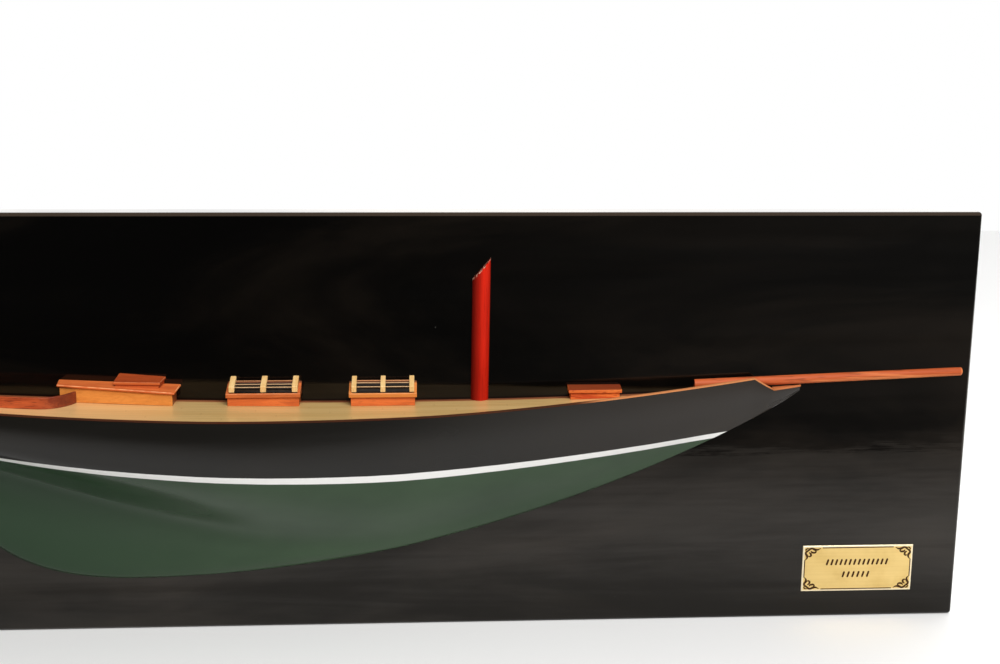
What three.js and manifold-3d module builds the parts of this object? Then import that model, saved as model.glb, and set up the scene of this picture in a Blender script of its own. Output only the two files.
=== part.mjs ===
// Half hull model of a long, low sailing cutter, fixed to a glossy black wall board.
// Millimetres. The origin is the middle of the board's back face, +X runs to the bow,
// +Z is up, and the carved half of the hull stands out of the board towards -Y.

import * as THREE from 'three';
import { NURBSCurve } from 'three/addons/curves/NURBSCurve.js';
import { mergeVertices } from 'three/addons/utils/BufferGeometryUtils.js';
import Module from 'manifold-3d';

// Glued pieces that meet on a curved or sloping face keep this much room for the glue.
const glueGap = 0.3;

const board = { length: 900, height: 260, thickness: 18 };

// The hull's ends, its widest section and how wide it is there and at its ends.
const hull = {
  bowX: 343.2, sternX: -310, widestX: -15,
  halfBeam: 49, stemHalfWidth: 1.3, transomHalfWidth: 12,
  bowFullness: 1.6, sternFullness: 1.8,
};

// The deck's long curve, lowest at lowX and rising to both ends, and its crown.
const sheer = { lowX: 77.3, lowZ: 15.6, bowRise: 7.2, sternRise: 17, crown: 0.8 };

// Underwater profile: bottom of the keel, knee where the sternpost meets the counter.
const keel = {
  bottomX: -67, bottomZ: -96.5, halfWidth: 3.4, stemHeadZ: 20,
  forefootX: 160.5, stemRake: 0.5, stemDrop: 3.5,
  heelX: -163, postZ: -48, kneeX: -203, kneeZ: -12, transomFootZ: 22.5,
};

// Where the line under the counter is pulled, as shares of its length and of its rise.
const counter = { lowPull: [0.3, 0.17], highPull: [0.7, 0.64] };

// Top of the deep fin, where the bilge turns hollow into it.
const fin = {
  aftPullX: -130, aftPullZ: -9, forePullX: -48, forePullZ: -75,
  endX: 90, endZ: -80,
};

// Proportions of the half sections amidships, at the bow and at the stern. Places out of
// the board are shares of the half beam, heights are shares from the hollow to the rail.
const form = {
  keelOut: [1, 0.4, 0.8],
  finOut: [0.19, 0.15, 0.2],
  hollowOut: [0.115, 0.26, 0.1], hollowUp: [0.02, 0.15, 0.03],
  bilgeOut: [0.84, 0.7, 0.88], bilgeUp: [0.42, 0.4, 0.3],
  sideOut: [1.02, 0.94, 1.02], sideUp: [0.66, 0.72, 0.6],
  finMiddle: 0.55, foreFinLift: 0.022, counterFinOut: 0.4, counterHollowOut: 0.6,
  hollowFadeX: 120, bowX: 230, counterBlend: 25,
};

// Raised bulwark, from the deck edge amidships to its slanted end near the stem.
const bulwark = { startX: 110, endX: 312.7, footX: 325.2, rise: 7.35, curve: 1.35 };
const edgeWall = { width: 1.5, beamShare: 0.4, transom: 1.4 };
const railCap = { thickness: 0.5, width: 1.9, beamShare: 0.7, overhang: 0.2 };
const stemCap = { thickness: 0.8, overhang: 0.2, footRise: 0.1, tipRise: 0.7, pointBack: 0.5 };
const deckPlanks = { thickness: 1.2, foreX: 317 };
const kingPlank = { width: 4.5, setBack: 0.2 };

// Half-round spars against the board. The mast leans forward and is sawn off slantwise.
const mast = {
  baseX: 145.2, topX: 146.2, baseRadius: 5.4, topRadius: 5.5,
  cutLowZ: 90.1, cutSlope: 1.17,
};
const bowsprit = {
  heelX: 277, heelZ: 24.2, heelRadius: 3,
  endX: 444.3, endZ: 31, endRadius: 2.6,
};

// Deckhouse: aft and fore ends, half widths there, roof heights along the board.
const house = { aftX: -103, foreX: -37, aftWidth: 11.5, foreWidth: 14.6 };
const roof = { overhang: 1.4, skew: 1.6, thickness: 1.5, aftZ: 30.2, foreZ: 26.9, foreFall: 1.4 };
const slide = {
  aftX: -72, foreX: -44.6, width: 11, skew: 1.8, thickness: 1.6,
  aftZ: 33.9, foreZ: 31.5, aftFall: 3, foreFall: 1.2, inset: 1,
};

// Cockpit coaming, one bent strip from the side of the deckhouse round to the board. Widths
// are out of the board, and a pull is how far the bend runs straight on past a point.
const coaming = { thickness: 1.8, foreHeight: 6.8, aftHeight: 5.6, joinX: -94.1, flare: 0.3 };
const cockpit = {
  shoulderX: -113, shoulderWidth: 27.4, shoulderPull: 18,
  midX: -160, midWidth: 24.6, midPull: 18, midFlare: 1.4,
  cornerX: -196, cornerWidth: 21, aftX: -208, aftPull: 14,
};

// The two skylights are made alike. Each has its own length, its own lid and ribs at the ends
// and its own rod places, which are shares of the way from the pane's back to its front.
const skylight = {
  width: 13, lidHeight: 5.4, lidOverhang: 1.4, lidThickness: 2.5, ridgeRise: 12.3,
  border: 1.8, frontBorder: 1, glassDepth: 0.9, glassThickness: 0.6,
  ribFrontHeight: 3.7, ribBackHeight: 3.2, rodRadius: 0.45, rodRise: 1.7,
};
const aftSkylight = {
  centreX: 16, length: 42.4, endOverhang: 0.8, ribWidth: 3.4, ribInset: 0.85,
  rodPlaces: [0.18, 0.5, 0.78],
};
const foreSkylight = {
  centreX: 86.9, length: 38.3, endOverhang: 1.1, ribWidth: 3, ribInset: 0.4,
  rodPlaces: [0.16, 0.37, 0.75],
};

const foreHatch = {
  aftX: 200, foreX: 230, width: 8.3, height: 3.8,
  lidOverhang: 1.2, lidThickness: 2.1, fall: 1.1,
};

const plate = { width: 71, height: 30.6, thickness: 1, sideMargin: 28.5, bottomMargin: 17.5, bevel: 0.3 };

// How finely the curved faces are cut.
const stationStep = 9.5;
const sectionSteps = 20;
const sparSides = 10;
const rodSides = 8;
const coamingSteps = 36;

const glossBlack = new THREE.MeshStandardMaterial({ color: 0x0b0a09, roughness: 0.12 });
const hullPaint = new THREE.MeshStandardMaterial({ color: 0x3f4a42, roughness: 0.4 });
const paleWood = new THREE.MeshStandardMaterial({ color: 0xd7b47d, roughness: 0.35 });
const mahogany = new THREE.MeshStandardMaterial({ color: 0xbe5f32, roughness: 0.35 });
const redMahogany = new THREE.MeshStandardMaterial({ color: 0xb0301a, roughness: 0.25 });
const ribWood = new THREE.MeshStandardMaterial({ color: 0xebcd8c, roughness: 0.4 });
const darkGlass = new THREE.MeshStandardMaterial({ color: 0x101010, roughness: 0.1 });
const brass = new THREE.MeshStandardMaterial({ color: 0xd9b565, roughness: 0.3, metalness: 1 });

const mix = THREE.MathUtils.lerp;
const smooth = THREE.MathUtils.smoothstep;
const flat = (x, z) => new THREE.Vector2(x, z);

// A point by its place along the board, its distance out of the board's face, its height.
const at = (x, out, z) => new THREE.Vector3(x, -board.thickness - out, z);

const group = new THREE.Group();

function add(name, geometry, material) {
  const mesh = new THREE.Mesh(geometry, material);
  mesh.name = name;
  group.add(mesh);
}

// Closed solid through rings of points. Each end is a fan round its middle.
function loft(rings) {
  const size = rings[0].length;
  const faces = [];
  for (let r = 0; r + 1 < rings.length; r += 1) {
    for (let i = 0; i < size; i += 1) {
      const a = r * size + i;
      const b = r * size + (i + 1) % size;
      faces.push(a, b, b + size, a, b + size, a + size);
    }
  }
  const points = rings.flat();
  const middle = (ring) => ring.reduce((sum, p) => sum.add(p), new THREE.Vector3()).divideScalar(size);
  points.push(middle(rings[0]), middle(rings.at(-1)));
  const first = points.length - 2;
  const last = (rings.length - 1) * size;
  for (let i = 0; i < size; i += 1) {
    const next = (i + 1) % size;
    faces.push(first, next, i);
    faces.push(first + 1, last + i, last + next);
  }
  return closedGeometry(points, faces);
}

function closedGeometry(points, faces) {
  let volume = 0;
  for (let i = 0; i < faces.length; i += 3) {
    const [a, b, c] = [points[faces[i]], points[faces[i + 1]], points[faces[i + 2]]];
    volume += a.dot(new THREE.Vector3().crossVectors(b, c));
  }
  const geometry = new THREE.BufferGeometry().setFromPoints(points);
  geometry.setIndex(volume > 0 ? faces : faces.toReversed());
  return geometry;
}

// Boolean cuts for pieces with holes or pockets.
const wasm = await Module();
wasm.setup();

function toSolid(geometry) {
  const bare = geometry.clone();
  bare.deleteAttribute('normal');
  bare.deleteAttribute('uv');
  const merged = mergeVertices(bare, 1e-4);
  return new wasm.Manifold(new wasm.Mesh({
    numProp: 3,
    vertProperties: new Float32Array(merged.attributes.position.array),
    triVerts: new Uint32Array(merged.index.array),
  }));
}

function cutAway(geometry, cutters) {
  const cut = cutters.reduce((body, cutter) => body.subtract(toSolid(cutter)), toSolid(geometry));
  const mesh = cut.getMesh();
  const result = new THREE.BufferGeometry();
  result.setAttribute('position', new THREE.BufferAttribute(new Float32Array(mesh.vertProperties), 3));
  result.setIndex(Array.from(mesh.triVerts));
  return result;
}

// Height of a curve at a given x. Its x runs one way only.
function heightAt(curve, x) {
  const rising = curve.getPoint(1).x > curve.getPoint(0).x;
  let low = 0;
  let high = 1;
  for (let i = 0; i < 40; i += 1) {
    const middle = (low + high) / 2;
    if ((curve.getPoint(middle).x < x) === rising) low = middle;
    else high = middle;
  }
  return curve.getPoint(low).y;
}

// Hull lines

function deckZ(x) {
  const forward = x > sheer.lowX;
  const reach = (forward ? hull.bowX : hull.sternX) - sheer.lowX;
  return sheer.lowZ + (forward ? sheer.bowRise : sheer.sternRise) * ((x - sheer.lowX) / reach) ** 2;
}

const deckTop = (x, out) => deckZ(x) - sheer.crown * (out / hull.halfBeam) ** 2;

function halfBeam(x) {
  const forward = x > hull.widestX;
  const end = forward ? hull.bowX : hull.sternX;
  const endWidth = forward ? hull.stemHalfWidth : hull.transomHalfWidth;
  const share = Math.min(1, (x - hull.widestX) / (end - hull.widestX));
  return mix(hull.halfBeam, endWidth, share ** (forward ? hull.bowFullness : hull.sternFullness));
}

// Top of the cap along the bulwark, down its slanted end and out to the stem's tip.
function railTop(x) {
  const along = Math.min(x, bulwark.endX);
  const share = Math.max(0, (along - bulwark.startX) / (bulwark.endX - bulwark.startX));
  const toe = deckTop(along, halfBeam(along)) + glueGap + railCap.thickness;
  const crest = toe + bulwark.rise * share ** bulwark.curve;
  const slant = THREE.MathUtils.clamp((x - bulwark.endX) / (bulwark.footX - bulwark.endX), 0, 1);
  const stem = Math.max(0, (x - bulwark.footX) / (hull.bowX - bulwark.footX));
  return mix(crest, deckZ(x) + mix(stemCap.footRise, stemCap.tipRise, stem), slant);
}

const stemLine = new THREE.CubicBezierCurve(
  flat(hull.bowX, keel.stemHeadZ),
  flat(hull.bowX - keel.stemRake, keel.stemHeadZ - keel.stemDrop),
  flat(keel.forefootX, keel.bottomZ),
  flat(keel.bottomX, keel.bottomZ),
);
const heelLine = new THREE.CubicBezierCurve(
  flat(keel.bottomX, keel.bottomZ),
  flat(keel.heelX, keel.bottomZ),
  flat(keel.heelX, keel.postZ),
  flat(keel.kneeX, keel.kneeZ),
);
const underCounter = ([along, up]) => flat(
  mix(keel.kneeX, hull.sternX, along),
  mix(keel.kneeZ, keel.transomFootZ, up),
);
const counterLine = new THREE.CubicBezierCurve(
  flat(keel.kneeX, keel.kneeZ),
  underCounter(counter.lowPull),
  underCounter(counter.highPull),
  flat(hull.sternX, keel.transomFootZ),
);
const hollowLine = new THREE.CubicBezierCurve(
  flat(keel.kneeX, keel.kneeZ),
  flat(fin.aftPullX, fin.aftPullZ),
  flat(fin.forePullX, fin.forePullZ),
  flat(fin.endX, fin.endZ),
);

function keelZ(x) {
  if (x > keel.bottomX) return heightAt(stemLine, x);
  return heightAt(x > keel.kneeX ? heelLine : counterLine, x);
}

function hollowZ(x) {
  if (x < keel.kneeX) return keelZ(x);
  if (x > fin.endX) {
    const fade = (hull.bowX - x) / (hull.bowX - fin.endX);
    return keelZ(x) + (fin.endZ - keelZ(fin.endX)) * fade;
  }
  return Math.max(heightAt(hollowLine, x), keelZ(x));
}

// Curve of one half section, from the keel's middle up to the rail. Its proportions change
// smoothly from the middle of the hull to the bow and to the stern.
function sectionCurve(x, topZ) {
  const bow = smooth(x, hull.widestX, form.bowX);
  const stern = smooth(-x, -hull.widestX, -keel.kneeX);
  const pastKnee = smooth(-x, -keel.kneeX, -keel.kneeX + form.counterBlend);
  const noHollow = smooth(x, hull.widestX, form.hollowFadeX);
  const blend = ([middle, fore, aft], forward) => (
    middle + (fore - middle) * forward + (aft - middle) * stern
  );
  const share = (shares) => blend(shares, bow);
  const low = (shares) => blend(shares, noHollow);
  const beam = halfBeam(x);
  const bottom = keelZ(x);
  const hollow = hollowZ(x);
  const rise = (shares) => mix(hollow, topZ, share(shares));
  const keelOut = Math.min(keel.halfWidth * share(form.keelOut), beam / 2);
  const finOut = beam * mix(low(form.finOut), form.counterFinOut, pastKnee);
  const finZ = mix(bottom, hollow, form.finMiddle) + form.foreFinLift * bow * (topZ - bottom);
  const hollowOut = beam * mix(low(form.hollowOut), form.counterHollowOut, pastKnee);
  const control = [
    [0, bottom],
    [keelOut, bottom],
    [finOut, finZ],
    [hollowOut, mix(hollow, topZ, low(form.hollowUp))],
    [beam * share(form.bilgeOut), rise(form.bilgeUp)],
    [beam * share(form.sideOut), rise(form.sideUp)],
    [beam, topZ],
  ].map(([out, z]) => new THREE.Vector4(out, z, 0, 1));
  return new NURBSCurve(3, [0, 0, 0, 0, 0.25, 0.5, 0.75, 1, 1, 1, 1], control);
}

function stations(from, to, ...marks) {
  const stops = [from, ...marks.filter((x) => x > from && x < to), to].sort((a, b) => a - b);
  const xs = [from];
  for (let i = 1; i < stops.length; i += 1) {
    const count = Math.ceil((stops[i] - stops[i - 1]) / stationStep);
    for (let k = 1; k <= count; k += 1) xs.push(mix(stops[i - 1], stops[i], k / count));
  }
  return xs;
}

// The thin edge wall, the rebate the deck lies in and the flat back on the board.
const transomInside = hull.sternX + edgeWall.transom;
const wallInside = (x) => halfBeam(x) - Math.min(edgeWall.width, halfBeam(x) * edgeWall.beamShare);
const capThickness = (x) => (x < bulwark.footX ? railCap.thickness : stemCap.thickness);
const hullTop = (x) => railTop(x) - capThickness(x) - glueGap;
const floorZ = (x, out) => deckTop(x, out) - deckPlanks.thickness - glueGap;
const deckReach = (x) => wallInside(x) - glueGap;

function hullRing(x) {
  const top = hullTop(x);
  const curve = sectionCurve(x, top);
  const ring = [];
  for (let i = 0; i <= sectionSteps; i += 1) {
    const p = curve.getPoint(i / sectionSteps);
    ring.push(at(x, p.x, p.y));
  }
  const inner = wallInside(x);
  const floor = (out) => (x > transomInside ? floorZ(x, out) : top - glueGap);
  ring.push(at(x, inner, top));
  [1, 2 / 3, 1 / 3, 0].forEach((part) => ring.push(at(x, inner * part, floor(inner * part))));
  return ring;
}

function makeHull() {
  const xs = stations(
    hull.sternX, hull.bowX - stemCap.pointBack,
    transomInside, transomInside + glueGap, keel.kneeX, keel.bottomX,
    bulwark.endX, bulwark.footX, bulwark.footX + glueGap,
  );
  add('half_hull', loft(xs.map(hullRing)), hullPaint);
}

// A flat strip lying in the hull's rebate, between two distances out of the board.
function deckStrip(from, to, inner, outer) {
  return loft(stations(from, to).map((x) => {
    const steps = [0, 1 / 3, 2 / 3, 1].map((part) => mix(inner(x), outer(x), part));
    const top = steps.map((out) => at(x, out, deckTop(x, out)));
    const under = steps.toReversed().map((out) => at(x, out, deckTop(x, out) - deckPlanks.thickness));
    return [...top, ...under];
  }));
}

function makeDeck() {
  const aft = transomInside + 2 * glueGap;
  add('deck', deckStrip(aft, deckPlanks.foreX, () => kingPlank.width, deckReach), paleWood);
  const kingWidth = (x) => Math.min(kingPlank.width, deckReach(x));
  add('king_plank', deckStrip(aft, bulwark.footX - kingPlank.setBack, () => 0, kingWidth), mahogany);
}

// Cap on the bulwark, turning across the transom at its aft end.
function makeRails() {
  const capWidth = (x) => Math.min(railCap.width, halfBeam(x) * railCap.beamShare);
  const marks = [transomInside, transomInside + glueGap, bulwark.endX];
  const rings = stations(hull.sternX, bulwark.footX, ...marks).map((x) => {
    const outer = halfBeam(x) + railCap.overhang;
    const inner = x > transomInside ? halfBeam(x) - capWidth(x) : 0;
    const top = railTop(x);
    const under = top - railCap.thickness;
    return [at(x, inner, under), at(x, outer, under), at(x, outer, top), at(x, inner, top)];
  });
  add('rail_cap', loft(rings), mahogany);

  const points = stations(bulwark.footX + glueGap, hull.bowX).map((x) => {
    const outer = halfBeam(x) + stemCap.overhang;
    const top = railTop(x);
    const under = top - stemCap.thickness;
    return [at(x, 0, under), at(x, outer, under), at(x, outer, top), at(x, 0, top)];
  });
  add('stem_cap', loft(points), mahogany);
}

// Half circle lying on the board, given as steps along it and out of it.
function halfCircle(radius) {
  return Array.from({ length: sparSides + 1 }, (_, i) => {
    const angle = Math.PI * i / sparSides;
    return flat(radius * Math.cos(angle), radius * Math.sin(angle));
  });
}

function makeSpars() {
  const cutZ = (x) => mast.cutLowZ + mast.cutSlope * (x - mast.topX + mast.topRadius);
  const foot = halfCircle(mast.baseRadius).map((p) => {
    const x = mast.baseX + p.x;
    return at(x, p.y, deckTop(x, p.y) + glueGap);
  });
  const head = halfCircle(mast.topRadius).map((p) => at(mast.topX + p.x, p.y, cutZ(mast.topX + p.x)));
  add('mast', loft([foot, head]), redMahogany);

  const ends = [0, 1].map((end) => {
    const x = mix(bowsprit.heelX, bowsprit.endX, end);
    const z = mix(bowsprit.heelZ, bowsprit.endZ, end);
    return halfCircle(mix(bowsprit.heelRadius, bowsprit.endRadius, end)).map((p) => at(x, p.y, z + p.x));
  });
  add('bowsprit', loft(ends), mahogany);
}

// Block with vertical sides, from its four corners in plan and the heights over each.
function block(corners, under, top) {
  return loft([under, top].map((height) => corners.map(([x, out]) => at(x, out, height(x, out)))));
}

const onDeck = (x, out) => deckTop(x, out) + glueGap;

function makeDeckhouse() {
  const plan = (grow, skew) => [
    [house.aftX - grow - skew, 0], [house.aftX - grow, house.aftWidth + grow],
    [house.foreX + grow, house.foreWidth + grow], [house.foreX + grow + skew, 0],
  ];
  const roofTop = (x, out) => {
    const part = (x - house.aftX + roof.overhang) / (house.foreX - house.aftX + 2 * roof.overhang);
    return mix(roof.aftZ, roof.foreZ, part) - roof.foreFall * part * out / house.foreWidth;
  };
  const roofUnder = (x, out) => roofTop(x, out) - roof.thickness;
  const wallTop = (x, out) => roofUnder(x, out) - glueGap;
  add('deckhouse', block(plan(0, 0), onDeck, wallTop), mahogany);
  add('deckhouse_roof', block(plan(roof.overhang, roof.skew), roofUnder, roofTop), mahogany);

  const slidePlan = (inset) => [
    [slide.aftX + slide.skew + inset, 0], [slide.aftX + inset, slide.width - inset],
    [slide.foreX - inset, slide.width - inset], [slide.foreX + slide.skew - inset, 0],
  ];
  const slideTop = (x, out) => {
    const part = (x - slide.aftX - slide.skew) / (slide.foreX - slide.aftX);
    return mix(slide.aftZ, slide.foreZ, part) - mix(slide.aftFall, slide.foreFall, part) * out / slide.width;
  };
  const slideUnder = (x, out) => slideTop(x, out) - slide.thickness;
  const onRoof = (x, out) => roofTop(x, out) + glueGap;
  const runnerTop = (x, out) => slideUnder(x, out) - glueGap;
  add('hatch_runners', block(slidePlan(slide.inset), onRoof, runnerTop), mahogany);
  add('sliding_hatch', block(slidePlan(0), slideUnder, slideTop), mahogany);
}

// A strip bent edgewise round the cockpit, with a square section.
function makeCoaming() {
  const along = (coaming.joinX - house.aftX) / (house.foreX - house.aftX);
  const joint = flat(coaming.joinX, mix(house.aftWidth, house.foreWidth, along) + glueGap);
  const shoulder = flat(cockpit.shoulderX, cockpit.shoulderWidth);
  const middle = flat(cockpit.midX, cockpit.midWidth);
  const bend = flat(mix(joint.x, shoulder.x, coaming.flare), shoulder.y);
  const route = new THREE.CurvePath();
  route.add(new THREE.QuadraticBezierCurve(joint, bend, shoulder));
  route.add(new THREE.CubicBezierCurve(
    shoulder,
    flat(shoulder.x - cockpit.shoulderPull, shoulder.y),
    flat(middle.x + cockpit.midPull, middle.y + cockpit.midFlare),
    middle,
  ));
  route.add(new THREE.CubicBezierCurve(
    middle,
    flat(cockpit.cornerX, cockpit.cornerWidth),
    flat(cockpit.aftX, cockpit.aftPull),
    flat(cockpit.aftX, 0),
  ));
  const rings = Array.from({ length: coamingSteps + 1 }, (_, i) => {
    const part = i / coamingSteps;
    const p = route.getPoint(part);
    const run = i < coamingSteps ? route.getTangent(part) : flat(0, -1);
    const side = flat(-run.y, run.x).multiplyScalar(coaming.thickness / 2);
    const edges = [p.clone().sub(side), p.clone().add(side)];
    if (i === 0) edges.forEach((edge) => edge.setY(p.y));
    const foot = edges.map((edge) => at(edge.x, edge.y, onDeck(edge.x, edge.y)));
    const height = mix(coaming.foreHeight, coaming.aftHeight, part);
    return [...foot, ...foot.map((q) => q.clone().setZ(q.z + height)).reverse()];
  });
  add('cockpit_coaming', loft(rings), redMahogany);
}

// A box set on the deck, an overhanging sloped lid with a dark pane let into it, three
// ribs across the pane and three rods that run through the ribs.
function makeSkylight(name, own) {
  const s = { ...skylight, ...own };
  const centre = s.centreX;
  const half = s.length / 2;
  const base = deckZ(centre);
  const plan = (ends, grow) => [
    [centre - half - ends, 0], [centre - half - ends, s.width + grow],
    [centre + half + ends, s.width + grow], [centre + half + ends, 0],
  ];
  const reach = s.width + s.lidOverhang;
  const front = base + s.lidHeight + s.lidThickness;
  const lidTop = (x, out) => mix(base + s.ridgeRise, front, out / reach);
  const lidUnder = () => base + s.lidHeight;
  add(`${name}_box`, block(plan(0, 0), onDeck, lidUnder), mahogany);

  const paneEnds = half + s.endOverhang - s.border;
  const paneFront = reach - s.frontBorder;
  const pane = (shrink) => [
    [centre - paneEnds + shrink, s.border + shrink], [centre - paneEnds + shrink, paneFront - shrink],
    [centre + paneEnds - shrink, paneFront - shrink], [centre + paneEnds - shrink, s.border + shrink],
  ];
  const above = (height) => (x, out) => lidTop(x, out) + height;
  const pocket = block(pane(0), above(-s.glassDepth), above(s.glassDepth));
  const lid = block(plan(s.endOverhang, s.lidOverhang), lidUnder, lidTop);
  add(`${name}_lid`, cutAway(lid, [pocket]), mahogany);
  const paneTop = -s.glassDepth + glueGap + s.glassThickness;
  add(`${name}_pane`, block(pane(glueGap), above(paneTop - s.glassThickness), above(paneTop)), darkGlass);

  // Ribs stand at both ends and the middle, rods lie parallel to the lid.
  const ribReach = half - s.ribInset;
  const ribCentres = [-1, 0, 1].map((side) => centre + side * (ribReach - s.ribWidth / 2));
  const rodAt = (place) => {
    const out = mix(s.border, paneFront, place);
    return { out, z: lidTop(centre, out) + glueGap + s.rodRise };
  };
  const rodBody = (place, radius, reach) => {
    const { out, z } = rodAt(place);
    return loft([centre - reach, centre + reach].map((x) => Array.from({ length: rodSides }, (_, i) => {
      const angle = 2 * Math.PI * i / rodSides;
      return at(x, out + radius * Math.cos(angle), z + radius * Math.sin(angle));
    })));
  };
  ribCentres.forEach((x, index) => {
    const left = x - s.ribWidth / 2;
    const right = x + s.ribWidth / 2;
    const corners = [[left, 0], [left, s.width], [right, s.width], [right, 0]];
    const ribTop = (_, out) => lidTop(x, out) + mix(s.ribBackHeight, s.ribFrontHeight, out / s.width);
    const rib = block(corners, above(glueGap), ribTop);
    const holes = s.rodPlaces.map((place) => rodBody(place, s.rodRadius + glueGap, s.length));
    add(`${name}_rib_${index + 1}`, cutAway(rib, holes), ribWood);
  });
  s.rodPlaces.forEach((place, index) => {
    add(`${name}_rod_${index + 1}`, rodBody(place, s.rodRadius, ribReach), brass);
  });
}

function makeForeHatch() {
  const h = foreHatch;
  const plan = (grow) => [
    [h.aftX - grow, 0], [h.aftX - grow, h.width + grow],
    [h.foreX + grow, h.width + grow], [h.foreX + grow, 0],
  ];
  const lidUnder = deckZ((h.aftX + h.foreX) / 2) + h.height;
  const lidTop = (x, out) => lidUnder + h.lidThickness + h.fall * (1 - out / (h.width + h.lidOverhang));
  add('fore_hatch_box', block(plan(0), onDeck, () => lidUnder), mahogany);
  add('fore_hatch_lid', block(plan(h.lidOverhang), () => lidUnder, lidTop), mahogany);
}

function makeBoard() {
  const geometry = new THREE.BoxGeometry(board.length, board.thickness, board.height);
  geometry.translate(0, -board.thickness / 2, 0);
  add('backboard', geometry, glossBlack);

  // Nameplate in the lower corner under the bow, with a small bevel round its face.
  const left = board.length / 2 - plate.sideMargin - plate.width;
  const foot = -board.height / 2 + plate.bottomMargin;
  const outline = (shrink, out) => [
    at(left + shrink, out, foot + shrink), at(left + plate.width - shrink, out, foot + shrink),
    at(left + plate.width - shrink, out, foot + plate.height - shrink),
    at(left + shrink, out, foot + plate.height - shrink),
  ];
  const face = plate.thickness;
  const rings = [outline(0, 0), outline(0, face - plate.bevel), outline(plate.bevel, face)];
  add('nameplate', loft(rings), brass);
}

makeBoard();
makeHull();
makeDeck();
makeRails();
makeSpars();
makeDeckhouse();
makeCoaming();
makeSkylight('skylight_1', aftSkylight);
makeSkylight('skylight_2', foreSkylight);
makeForeHatch();

export default group;
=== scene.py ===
# Half hull model of a long, low sailing cutter: a carved and painted half hull with varnished
# fittings, fixed to a glossy black wall board. Metres, +X to the bow, +Z up, -Y out of the wall.

import math

import bmesh
import bpy
import numpy as np
from mathutils import Matrix, Vector


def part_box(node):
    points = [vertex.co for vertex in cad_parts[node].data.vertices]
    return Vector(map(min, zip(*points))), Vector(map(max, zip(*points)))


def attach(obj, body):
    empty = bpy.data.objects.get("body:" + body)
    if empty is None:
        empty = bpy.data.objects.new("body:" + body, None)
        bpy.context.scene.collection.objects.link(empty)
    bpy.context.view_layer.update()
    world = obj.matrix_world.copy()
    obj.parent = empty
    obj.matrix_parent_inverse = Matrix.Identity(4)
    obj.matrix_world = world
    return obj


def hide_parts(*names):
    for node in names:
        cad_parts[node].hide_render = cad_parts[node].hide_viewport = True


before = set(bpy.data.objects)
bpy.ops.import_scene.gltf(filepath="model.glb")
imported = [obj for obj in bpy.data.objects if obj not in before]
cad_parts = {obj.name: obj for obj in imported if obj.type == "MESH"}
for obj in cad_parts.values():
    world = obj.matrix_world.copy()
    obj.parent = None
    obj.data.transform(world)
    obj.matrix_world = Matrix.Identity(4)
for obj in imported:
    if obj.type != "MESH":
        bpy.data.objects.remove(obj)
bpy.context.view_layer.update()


# The board
# A plain rectangular board under many coats of black lacquer, rubbed down and polished. Wiping
# has left faint streaks and a soft haze on the gloss. Its upper rounded edges are painted a dull
# brown, a painted reflection of the bright light above and behind.

board_edge = 0.0022
board_black = (0.0014, 0.0013, 0.0012, 1)
board_haze = (0.0090, 0.0068, 0.0050, 1)
board_dust = (0.20, 0.19, 0.17, 1)
board_edge_reflection = (0.046, 0.033, 0.024, 1)
gloss_tint = (1.0, 0.93, 0.84, 1)


class Wire:
    """A node's output. Sums with it add Math nodes."""

    def __init__(self, graph, socket):
        self.graph = graph
        self.socket = socket

    def maths(self, operation, *values):
        return self.graph.node("ShaderNodeMath", {"operation": operation}, values)

    def __add__(self, other):
        return self.maths("ADD", self, other)

    def __sub__(self, other):
        return self.maths("SUBTRACT", self, other)

    def __rsub__(self, other):
        return self.maths("SUBTRACT", other, self)

    def __mul__(self, other):
        return self.maths("MULTIPLY", self, other)

    def __truediv__(self, other):
        return self.maths("DIVIDE", self, other)

    def __pow__(self, other):
        return self.maths("POWER", self, other)

    __radd__ = __add__
    __rmul__ = __mul__

    def over(self, limit):
        return self.maths("MAXIMUM", self, limit)

    def least(self, other):
        return self.maths("MINIMUM", self, other)

    def size(self):
        return self.maths("ABSOLUTE", self)

    def whole(self):
        return self.maths("FLOOR", self)

    def part(self):
        return self.maths("FRACT", self)


class Graph:
    """Nodes that are added to a tree, each with its settings and its sockets' values or links."""

    def __init__(self, tree):
        self.tree = tree

    def node(self, kind, settings, sockets, output=0):
        made = self.tree.nodes.new(kind)
        for setting, value in settings.items():
            setattr(made, setting, value)
        named = sockets.items() if isinstance(sockets, dict) else enumerate(sockets)
        for socket, value in named:
            if isinstance(value, Wire):
                self.tree.links.new(value.socket, made.inputs[socket])
            else:
                made.inputs[socket].default_value = value
        return Wire(self, made.outputs[output])

    def axes(self, vector):
        return [self.node("ShaderNodeSeparateXYZ", {}, {0: vector}, axis) for axis in "XYZ"]

    def step(self, value, low, high):
        """0 below low, 1 above high, a smooth rise between."""
        sockets = {"Value": value, "From Min": low, "From Max": high}
        return self.node("ShaderNodeMapRange", {"interpolation_type": "SMOOTHSTEP"}, sockets)


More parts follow.
